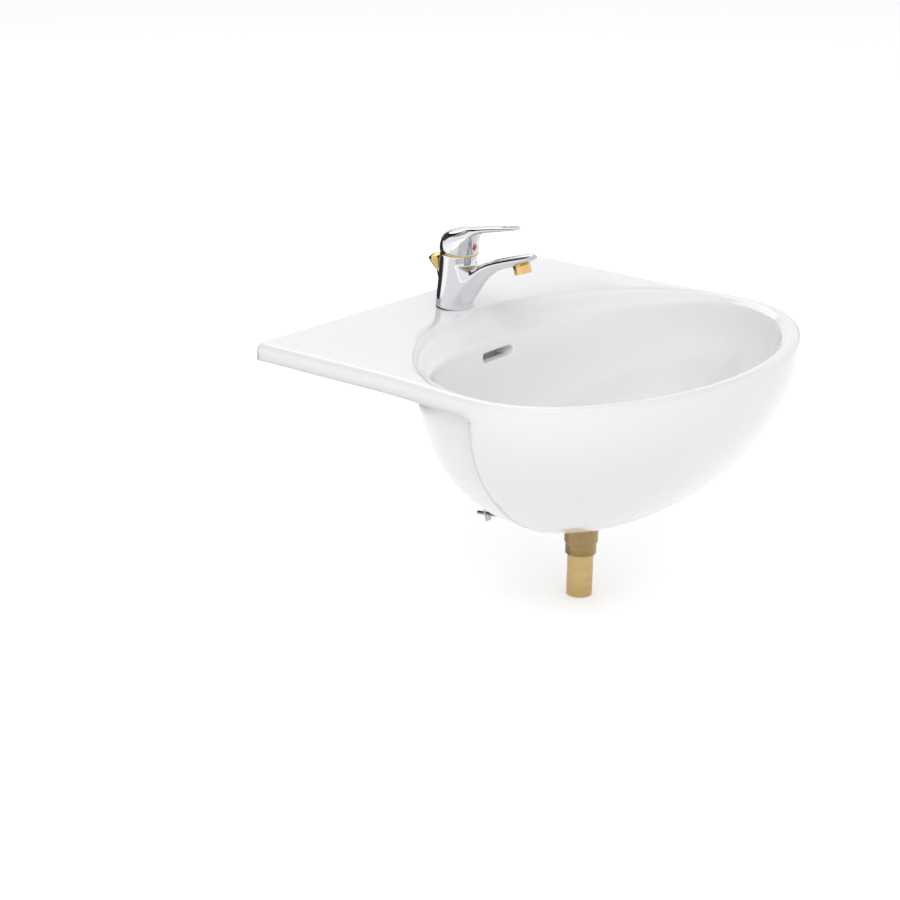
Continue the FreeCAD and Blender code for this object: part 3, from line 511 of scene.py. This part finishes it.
def spun(profile, steps=SPIN_STEPS):
    """Turn a closed profile of (radius, level) points round the upright axis."""
    work = bmesh.new()
    corners = [work.verts.new((radius, 0, level)) for radius, level in profile]
    edges = [work.edges.new(pair) for pair in zip(corners, corners[1:] + corners[:1])]
    bmesh.ops.spin(work, geom=corners + edges, cent=(0, 0, 0), axis=(0, 0, 1),
                   angle=FULL_TURN, steps=steps, use_merge=True)
    bmesh.ops.remove_doubles(work, verts=work.verts, dist=PROFILE_GAP)
    return work


def finished(work, name, node, replaced=(), matrix=MIXER, levels=0):
    """Turn a mesh in millimetres into a piece, in the mixer's frame unless told otherwise."""
    bmesh.ops.recalc_face_normals(work, faces=work.faces)
    bmesh.ops.scale(work, verts=work.verts, vec=(MM, MM, MM))
    bmesh.ops.transform(work, verts=work.verts, matrix=matrix)
    mesh = bpy.data.meshes.new(name)
    work.to_mesh(mesh)
    work.free()
    mesh.shade_smooth()
    if not levels:
        mesh.set_sharp_from_angle(angle=math.radians(SHARP_ANGLE))
    made = mesh_object(name, mesh, node, replaced)
    if levels:
        smooth = made.modifiers.new("subdivision", "SUBSURF")
        smooth.levels = smooth.render_levels = levels
    return made


# ------------------------------------------------------------------ materials and plain pieces
class BASIN_OT_finishes(bpy.types.Operator):
    """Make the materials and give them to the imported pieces"""
    bl_idname = "basin.finishes"
    bl_label = "Make the finishes"

    def execute(self, context):
        MATERIALS.update(slot_materials(finish_of(context)))
        for node, piece in frame["nodes"].items():
            piece.data.materials.clear()
            piece.data.materials.append(finish_for(node))
        return {"FINISHED"}


# Nodes that have a modelled piece of their own
MODELLED = ("tap_body", "lever_handle", "trim_ring", "index_hot", "index_cold")


class BASIN_OT_skins(bpy.types.Operator):
    """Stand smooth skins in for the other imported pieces"""
    bl_idname = "basin.skins"
    bl_label = "Smooth the pieces"

    def execute(self, context):
        for node in sorted(set(frame["nodes"]) - set(MODELLED)):
            smooth_piece(node)
        return {"FINISHED"}


# ------------------------------------------------------------------ mixer's body
# Each ring of the body: radius, level, how far the front is drawn in. They go up the outside, over
# the top and down the inside.
BODY_RINGS = ((18.0, 1.0, 0), (23.4, 1.0, 0), (23.9, 2.4, 0), (23.6, 8, 0), (23.3, 17, 0),
              (23.0, 30, 0), (23.1, 44, 0), (23.5, 57, 0.6), (23.7, 62, 2.8), (23.9, 67, 3.4),
              (23.9, 69.8, 3.2), (20.4, 70.0, 0.4), (18.95, 66, 0), (18.85, 27.2, 0), (10, 27, 0),
              (4, 27, 0))
# Spout: reach, level of the top, level of the underside, half width, how far its top is dished
SPOUT_SECTIONS = ((-28, 63.0, 18.5, 19.0, 6.5), (-35, 66.3, 33, 18.2, 6.0),
                  (-45, 73.4, 47.6, 17.1, 4.0), (-56, 77.6, 58.4, 16.1, 2.6),
                  (-68, 82.2, 66.8, 15.1, 1.8), (-84, 88.6, 73.6, 13.9, 1.2),
                  (-99, 94.0, 80, 12.5, 0.6), (-108, 96.2, 86.4, 10.2, 0),
                  (-113.5, 96.4, 91.6, 6.0, 0))
# Columns to either side of the front, lowest and highest row of the body that the spout grows from
SPOUT_PATCH = (4, 3, 7)


def body_corner(turn, ring):
    """Corner of a ring of the body, drawn in towards its front."""
    radius, level, drawn_in = ring
    radius -= drawn_in * max(0.0, -math.sin(turn)) ** 2
    return Vector((radius * math.cos(turn), radius * math.sin(turn), level))


def spout_corner(across, up, section):
    """Corner of an oval section, from its place on a square patch."""
    reach, top, low, half, dish = section
    side = across * math.sqrt(1 - up * up / 2)
    rise = up * math.sqrt(1 - across * across / 2)
    sunk = dish * max(0.0, up) ** 3 * (1 - across * across)
    return Vector((half * side, reach, (top + low) / 2 + rise * (top - low) / 2 - sunk))


class BASIN_OT_mixer_body(bpy.types.Operator):
    """Make the mixer's body and spout as one smooth casting"""
    bl_idname = "basin.mixer_body"
    bl_label = "Make the mixer's body"

    def execute(self, context):
        work = bmesh.new()
        ring_stack(work, BODY_RINGS, body_corner)
        draw_out(work, SPOUT_PATCH, SPOUT_SECTIONS, spout_corner)
        finished(work, "mixer_casting", "tap_body", ["tap_body"], levels=SMOOTH_LEVELS)
        return {"FINISHED"}


# ------------------------------------------------------------------ lever
# Upper surface of the lever from the back to the tip: (reach, level)
LEVER_TOP = ((26, 88.2), (20, 92.8), (14, 96.8), (8, 99.4), (0, 101.8), (-10, 104.5),
             (-20, 107.4), (-30, 110.4), (-40, 113.3), (-60, 118.6), (-80, 123.3), (-92, 126.0))
# Level of the cap's lower edge
SKIRT = 72.8
# Each ring of the cap: share of the radius, share of the height. At HOLLOW_ROW and below, a ring
# lies in the hollow, which is part of a ball about the hinge.
CAP_RINGS = ((0.10, -4), (0.35, -3), (0.62, -2), (0.86, -1), (0.968, -0.02), (0.992, 0.0),
             (1.0, 0.14), (1.0, 0.40), (0.985, 0.68), (0.945, 0.85), (0.83, 0.975), (0.5, 1.0),
             (0.2, 1.0))
HOLLOW_ROW = -1
HOLLOW_RADIUS = 31.7
HINGE_LEVEL = 52.0
# Radius at the cap's sides, and what it gains behind and loses in front
CAP_RADIUS = 24.25
CAP_SKEW = 0.85
# Rings above the shoulder's height draw in behind, by a share of the radius
SHOULDER = 0.6
SHOULDER_DRAW = 0.05
# Rings above this height rise to the full height in front, where the blade starts
BROW = 0.9
# Fall of the cap's top towards its sides, per square millimetre
CAP_CROWN = 0.011
# Blade: reach, half width, thickness, how far the inner corners spread for the eye
BLADE_SECTIONS = ((-29, 12.1, 8.8, 1.0), (-38, 11.6, 7.8, 1.0), (-48, 11.1, 7.3, 1.0),
                  (-57, 10.9, 6.8, 1.0), (-64, 10.9, 6.2, 1.15), (-72, 10.8, 5.6, 1.4),
                  (-80.5, 9.7, 4.8, 1.35), (-84.8, 7.4, 4.2, 1.15))
# The same for the blade, on the cap
BLADE_PATCH = (2, 8, 10)
# Corners nearer the middle than this share of the half width are inner ones
INNER_CORNERS = 0.75
# Narrowing of the blade's upper and lower faces, and the crown of each as a share of the thickness
BLADE_NARROWING = 0.16
CROWN_ABOVE = 0.2
CROWN_BELOW = 0.12
# The eye lies between these two reaches
EYE_FAR = -80.4
EYE_NEAR = -64.1


def lever_top(reach):
    """Level of the lever's upper surface at a reach."""
    for (near, one), (far, other) in zip(LEVER_TOP, LEVER_TOP[1:]):
        if reach >= far:
            return one + (other - one) * (reach - near) / (far - near)
    return LEVER_TOP[-1][1]


def cap_corner(turn, ring):
    """Corner of a ring of the cap."""
    share, height = ring
    if height > SHOULDER:
        share *= 1 - SHOULDER_DRAW * max(0.0, math.sin(turn))
    radius = (CAP_RADIUS + CAP_SKEW * math.sin(turn)) * share
    side = radius * math.cos(turn)
    reach = radius * math.sin(turn)
    if height <= HOLLOW_ROW:
        level = HINGE_LEVEL + math.sqrt(HOLLOW_RADIUS ** 2 - radius ** 2)
    else:
        if height > BROW:
            height += (1 - height) * max(0.0, -math.sin(turn)) ** 4
        level = SKIRT + height * (lever_top(reach) - CAP_CROWN * side ** 2 - SKIRT)
    return Vector((side, reach, level))


def blade_corner(across, up, section):
    """Corner of a section of the blade, from its place on a square patch."""
    reach, half, thick, spread = section
    narrow = 1 - BLADE_NARROWING * abs(up)
    if abs(across) < INNER_CORNERS:
        across *= spread
    crown = thick * (CROWN_ABOVE if up > 0 else CROWN_BELOW) * across * across
    level = lever_top(reach) - thick * (1 - up) / 2 - up * crown
    return Vector((half * across * narrow, reach, level))


def close_inside(work):
    """Close the hole that drawing out the blade leaves inside the cap."""
    inner = [edge for edge in work.edges if edge.is_boundary]
    bmesh.ops.holes_fill(work, edges=inner, sides=0)


def pierce(work):
    """Open the eye near the blade's tip."""
    column = work.verts.layers.int["column"]
    level = work.verts.layers.int["row"]
    gone = [face for face in work.faces
            if EYE_FAR < face.calc_center_median().y < EYE_NEAR
            and all(abs(corner[column] - FRONT) <= 1 for corner in face.verts)
            and len({corner[level] for corner in face.verts}) == 1]
    bmesh.ops.delete(work, geom=gone, context="FACES")
    rims = [edge for edge in work.edges if edge.is_boundary]
    bmesh.ops.bridge_loops(work, edges=rims)


class BASIN_OT_lever(bpy.types.Operator):
    """Make the lever: a domed cap with a long blade that has an eye near its tip"""
    bl_idname = "basin.lever"
    bl_label = "Make the lever"

    def execute(self, context):
        work = bmesh.new()
        ring_stack(work, CAP_RINGS, cap_corner)
        draw_out(work, BLADE_PATCH, BLADE_SECTIONS, blade_corner)
        close_inside(work)
        pierce(work)
        finished(work, "lever_casting", "lever_handle", ["lever_handle"], levels=SMOOTH_LEVELS)
        return {"FINISHED"}


# ------------------------------------------------------------------ trim and index button
# Trim ring under the lever and the dome that the lever rides over: (radius, level)
TRIM_PROFILE = ((20.2, 70.0), (23.3, 69.9), (23.9, 70.3), (24.15, 71.0), (23.9, 71.7),
                (23.2, 72.1), (20.2, 72.1))
DOME_PROFILE = ((23.0, 72.0), (22.6, 73.2), (20.4, 75.3), (17.6, 77.5), (14.0, 79.6),
                (13.4, 78.9), (17.0, 76.7), (19.8, 74.5), (21.4, 72.6), (21.6, 72.0))


class BASIN_OT_trim(bpy.types.Operator):
    """Make the gold ring and the chrome dome between the body and the lever"""
    bl_idname = "basin.trim"
    bl_label = "Make the trim ring"

    def execute(self, context):
        finished(spun(TRIM_PROFILE), "trim_ring_turned", "trim_ring", ["trim_ring"])
        finished(spun(DOME_PROFILE), "lever_dome", "tap_body")
        return {"FINISHED"}


# Button: (radius, height above its seat), and how far off its middle the two colours meet
BUTTON_PROFILE = ((0.0, 1.5), (1.6, 1.42), (3.0, 1.1), (4.0, 0.6), (4.6, -0.2), (4.6, -2.5),
                  (0.0, -2.5))
BUTTON_STEPS = 48
BUTTON_SPLIT = 0.9
# Its seat in the front of the cap, which faces forward
BUTTON_REACH = -22.6
BUTTON_LEVEL = 82.4
BUTTON_TILT = math.radians(88)


class BASIN_OT_index(bpy.types.Operator):
    """Make the two parts of the domed index button"""
    bl_idname = "basin.index"
    bl_label = "Make the index button"

    def execute(self, context):
        seat = (Matrix.Translation((0, BUTTON_REACH * MM, BUTTON_LEVEL * MM))
                @ Matrix.Rotation(BUTTON_TILT, 4, "X"))
        for node, side in (("index_hot", 1), ("index_cold", -1)):
            work = spun(BUTTON_PROFILE, BUTTON_STEPS)
            cut = bmesh.ops.bisect_plane(
                work, geom=[*work.verts, *work.edges, *work.faces], dist=CUT_GAP,
                plane_co=(BUTTON_SPLIT, 0, 0), plane_no=(side, 0, 0), clear_outer=True)
            rim = of_kind(cut["geom_cut"], bmesh.types.BMEdge)
            bmesh.ops.holes_fill(work, edges=rim, sides=0)
            finished(work, node + "_dome", node, [node], matrix=MIXER @ seat)
        return {"FINISHED"}


# ------------------------------------------------------------------ stage
# Floor: from its middle to its edges, squares along a side, how far it lies under the object
FLOOR_REACH = 12
FLOOR_SQUARES = 8
FLOOR_GAP = 0.0005
# Dark ground that polished pieces mirror: axis, where it starts, where it is full
DARK_GROUND = (("Y", 0.35, 0.5), ("X", -0.75, -0.5))
DARK_TONE = (0.035, 0.035, 0.04)
# Dark side of the surroundings that they mirror: way to its middle, cosines of its soft edge and
# the share of light that is left in it
DARK_SIDE = (0.0, 0.87, 0.5)
DARK_EDGE = (0.76, 0.85)
DARK_STRENGTH = 0.05
# Brightness of those surroundings: (height from -1 to 1, grey), and their cool cast
SKY = ((-0.2, 0.96), (0.12, 1.0), (0.42, 0.97), (0.55, 0.4), (0.72, 0.2), (0.92, 0.6))
SKY_CAST = 1.02
# Lamps: name, place, width, share of the key's power, whether polished pieces mirror it
LAMPS = (("key_lamp", (-2.2, -1.8, 2.8), 3.0, 1.0, False),
         ("fill_lamp", (1.8, 2.2, 2.6), 2.4, 0.4, True))
LAMP_AIM = (0, -0.2, 0)
# Camera: width of its sensor in millimetres, nearest and farthest that it sees
SENSOR_WIDTH = 36
NEAREST = 0.05
FARTHEST = 60


def seen_ray(tree):
    """1 for rays from the camera, from a mirror or through glass; 0 for the rest."""
    path = tree.nodes.new("ShaderNodeLightPath")
    direct = reckon(tree, "MAXIMUM", path.outputs["Is Camera Ray"], path.outputs["Is Glossy Ray"])
    return reckon(tree, "MAXIMUM", direct, path.outputs["Is Transmission Ray"])


def dark_area(tree):
    """1 where polished pieces mirror the dark ground behind the object; 0 for any other ray."""
    place = tree.nodes.new("ShaderNodeTexCoord")
    split = tree.nodes.new("ShaderNodeSeparateXYZ")
    path = tree.nodes.new("ShaderNodeLightPath")
    tree.links.new(place.outputs["Object"], split.inputs[0])
    area = path.outputs["Is Glossy Ray"]
    for axis, start, end in DARK_GROUND:
        edge = soft_edge(tree, split.outputs[axis], start, end)
        area = reckon(tree, "MULTIPLY", area, edge)
    return area


def pale_floor(studio):
    """Floor that looks white and keeps shadows, with a dark ground for mirrors alone."""
    pale = tuple(studio.floor)
    made = Finish("pale floor", pale, 0.8)
    uneven = made.marks("fine_relief", Scale=3.0, Height=0.0001, Detail=2.0)
    made.blotch(uneven, pale, shade(pale, 0.99))
    glow = made.nodes.new("ShaderNodeEmission")
    lift = reckon(made.tree, "MULTIPLY", seen_ray(made.tree), studio.floor_glow)
    made.link(lift, glow.inputs["Strength"])
    lit = made.nodes.new("ShaderNodeAddShader")
    made.link(made.shader.outputs["BSDF"], lit.inputs[0])
    made.link(glow.outputs["Emission"], lit.inputs[1])
    dark = made.nodes.new("ShaderNodeEmission")
    dark.inputs["Color"].default_value = (*DARK_TONE, 1)
    surface = either_shader(made.tree, dark_area(made.tree), lit.outputs[0], dark.outputs[0])
    made.link(surface, made.nodes["Material Output"].inputs["Surface"])
    return made.material


def mirrored_sky(tree):
    """Background that polished pieces mirror: a bright sky with a dark side behind the object."""
    way = tree.nodes.new("ShaderNodeTexCoord").outputs["Generated"]
    split = tree.nodes.new("ShaderNodeSeparateXYZ")
    tree.links.new(way, split.inputs[0])
    rise = reckon(tree, "MULTIPLY_ADD", split.outputs["Z"], 0.5, 0.5)
    sky = tree.nodes.new("ShaderNodeValToRGB")
    for height, grey in SKY:
        mark = sky.color_ramp.elements.new((height + 1) / 2)
        mark.color = (grey, grey, grey * SKY_CAST, 1)
    tree.links.new(rise, sky.inputs["Fac"])
    toward = tree.nodes.new("ShaderNodeVectorMath")
    toward.operation = "DOT_PRODUCT"
    toward.inputs[1].default_value = DARK_SIDE
    tree.links.new(way, toward.inputs[0])
    light = soft_edge(tree, toward.outputs["Value"], *DARK_EDGE, low=1.0, high=DARK_STRENGTH)
    mirrored = tree.nodes.new("ShaderNodeBackground")
    tree.links.new(sky.outputs["Color"], mirrored.inputs["Color"])
    tree.links.new(light, mirrored.inputs["Strength"])
    return mirrored.outputs[0]


class BASIN_OT_stage(bpy.types.Operator):
    """Set up the floor, the lamps, the world and the camera"""
    bl_idname = "basin.stage"
    bl_label = "Set up the stage"

    def execute(self, context):
        studio = studio_of(context)
        self.floor(context, studio)
        self.lamps(context, studio)
        self.world(context, studio)
        self.camera(context, studio)
        context.scene.view_settings.view_transform = "Standard"
        return {"FINISHED"}

    def floor(self, context, studio):
        """A wide sheet just under the object."""
        work = bmesh.new()
        bmesh.ops.create_grid(work, x_segments=FLOOR_SQUARES, y_segments=FLOOR_SQUARES,
                              size=FLOOR_REACH)
        bmesh.ops.translate(work, verts=work.verts, vec=(0, 0, CAD_BOX[0].z - FLOOR_GAP))
        mesh = bpy.data.meshes.new("floor")
        work.to_mesh(mesh)
        work.free()
        mesh.materials.append(pale_floor(studio))
        floor = bpy.data.objects.new("floor", mesh)
        context.scene.collection.objects.link(floor)

    def lamps(self, context, studio):
        """Two round lamps that face the object."""
        for name, place, width, share, mirrored in LAMPS:
            light = bpy.data.lights.new(name, "AREA")
            light.shape = "DISK"
            light.size = width
            light.energy = studio.key * share
            lamp = bpy.data.objects.new(name, light)
            lamp.location = place
            aim = Vector(LAMP_AIM) - Vector(place)
            lamp.rotation_mode = "QUATERNION"
            lamp.rotation_quaternion = aim.to_track_quat("-Z", "Y")
            lamp.visible_glossy = mirrored
            context.scene.collection.objects.link(lamp)

    def world(self, context, studio):
        """Even light, a sky for mirrors, and plain white for the camera and through glass."""
        world = bpy.data.worlds.new("studio")
        context.scene.world = world
        world.use_nodes = True
        tree = world.node_tree
        light = tree.nodes["Background"]
        light.inputs["Color"].default_value = WHITE
        light.inputs["Strength"].default_value = studio.world
        plain = tree.nodes.new("ShaderNodeBackground")
        plain.inputs["Color"].default_value = WHITE
        path = tree.nodes.new("ShaderNodeLightPath")
        last = light.outputs[0]
        for ray, shader in (("Is Glossy Ray", mirrored_sky(tree)),
                            ("Is Transmission Ray", plain.outputs[0]),
                            ("Is Camera Ray", plain.outputs[0])):
            last = either_shader(tree, path.outputs[ray], last, shader)
        tree.links.new(last, tree.nodes["World Output"].inputs["Surface"])

    def camera(self, context, studio):
        """The camera of the main view."""
        data = bpy.data.cameras.new("camera")
        data.sensor_width = SENSOR_WIDTH
        data.lens = studio.lens
        data.clip_start = NEAREST
        data.clip_end = FARTHEST
        turn, rise = studio.azimuth, studio.elevation
        back = Vector((math.sin(turn) * math.cos(rise), -math.cos(turn) * math.cos(rise),
                       math.sin(rise)))
        right = Vector((0, 0, 1)).cross(back).normalized()
        up = back.cross(right)
        level = Matrix((right, up, back)).transposed()
        rolled = level @ Matrix.Rotation(studio.roll, 3, "Z")
        camera = bpy.data.objects.new("camera", data)
        camera.rotation_mode = "QUATERNION"
        camera.rotation_quaternion = rolled.to_quaternion()
        camera.location = studio.camera_place
        context.scene.collection.objects.link(camera)
        context.scene.camera = camera


# ------------------------------------------------------------------ panel and start
class BASIN_PT_panel(bpy.types.Panel):
    """Lists the steps that dress the basin"""
    bl_idname = "BASIN_PT_panel"
    bl_label = "Semi recessed basin"
    bl_space_type = "VIEW_3D"
    bl_region_type = "UI"
    bl_category = "Basin"

    def draw(self, context):
        for step in STEPS:
            self.layout.operator(step.bl_idname)
        for settings in (finish_of(context), studio_of(context)):
            for name in settings.__annotations__:
                self.layout.prop(settings, name)


STEPS = (BASIN_OT_finishes, BASIN_OT_skins, BASIN_OT_mixer_body, BASIN_OT_lever,
         BASIN_OT_trim, BASIN_OT_index, BASIN_OT_stage)
CLASSES = (BasinFinish, StudioLight, *STEPS, BASIN_PT_panel)


def register():
    for one in CLASSES:
        bpy.utils.register_class(one)
    bpy.types.Scene.basin_finish = PointerProperty(type=BasinFinish)
    bpy.types.Scene.basin_studio = PointerProperty(type=StudioLight)


def unregister():
    del bpy.types.Scene.basin_studio
    del bpy.types.Scene.basin_finish
    for one in reversed(CLASSES):
        bpy.utils.unregister_class(one)


def main():
    register()
    bpy.ops.basin.finishes()
    bpy.ops.basin.skins()
    bpy.ops.basin.mixer_body()
    bpy.ops.basin.lever()
    bpy.ops.basin.trim()
    bpy.ops.basin.index()
    bpy.ops.basin.stage()


if __name__ == "__main__":
    main()
